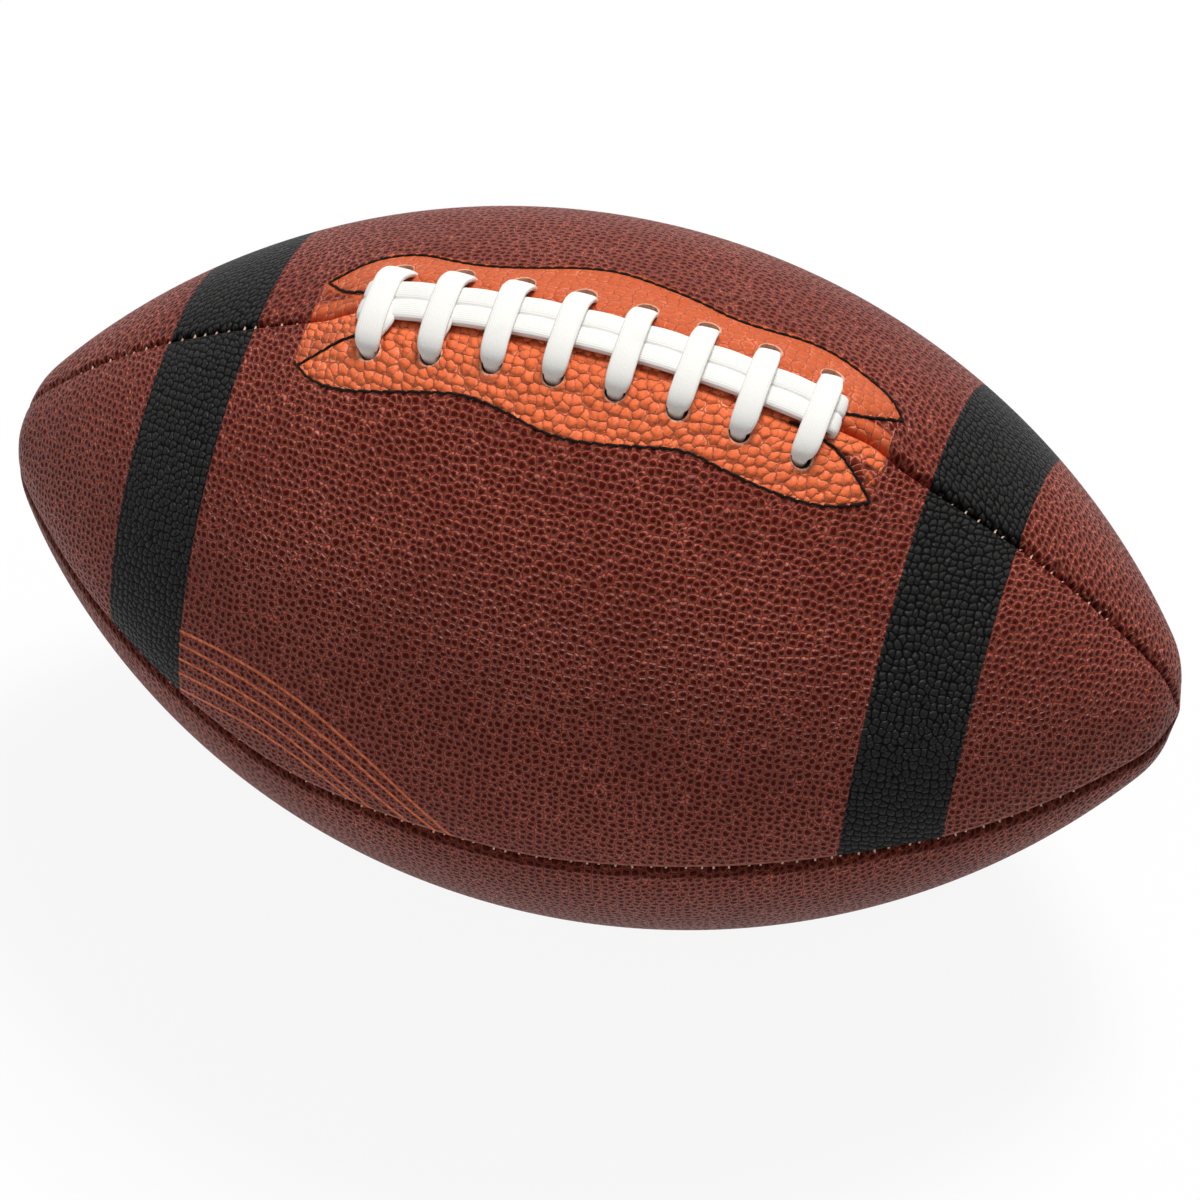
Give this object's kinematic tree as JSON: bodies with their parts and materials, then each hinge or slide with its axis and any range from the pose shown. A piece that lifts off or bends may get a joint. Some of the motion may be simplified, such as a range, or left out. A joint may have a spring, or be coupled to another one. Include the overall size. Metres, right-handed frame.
{
  "type": "american football",
  "caption": "Pointed oval ball for american football: pebbled cover panels sewn over a lining and an inflatable bladder, with a laced slit on top and a needle valve.",
  "frame": {"origin": "centre of the ball, half way between the two noses on the long axis", "axes": "+X along the long axis, +Z out through the middle of the lacing, +Y to the back of the ball as the picture shows it"},
  "size_m": [0.2796, 0.1624, 0.1668],
  "materials": {
    "cover": "pebbled brown composite leather, printed black stripes",
    "lining": "woven three-ply lining",
    "facing": "bare tan reinforcing patch",
    "black_thread": "black lockstitch thread",
    "seam_thread": "tan seam thread",
    "lace": "white moulded lace, soft satin",
    "guard": "split leather flap",
    "bladder": "butyl bladder",
    "valve": "moulded valve rubber"
  },
  "bodies": {
    "root": {"front_top_panel": "cover", "back_top_panel": "cover", "front_bottom_panel": "cover", "back_bottom_panel": "cover", "front_top_lining": "lining", "back_top_lining": "lining", "front_bottom_lining": "lining", "back_bottom_lining": "lining", "front_lace_facing": "facing", "back_lace_facing": "facing", "front_facing_stitch": "black_thread", "back_facing_stitch": "black_thread", "top_seam_thread": "seam_thread", "front_seam_thread": "seam_thread", "bottom_seam_thread": "seam_thread", "back_seam_thread": "seam_thread", "lace": "lace", "bladder_guard": "guard", "bladder": "bladder", "valve_facing": "facing", "valve_seat": "valve", "valve_core": "valve"}
  },
  "joints": []
}
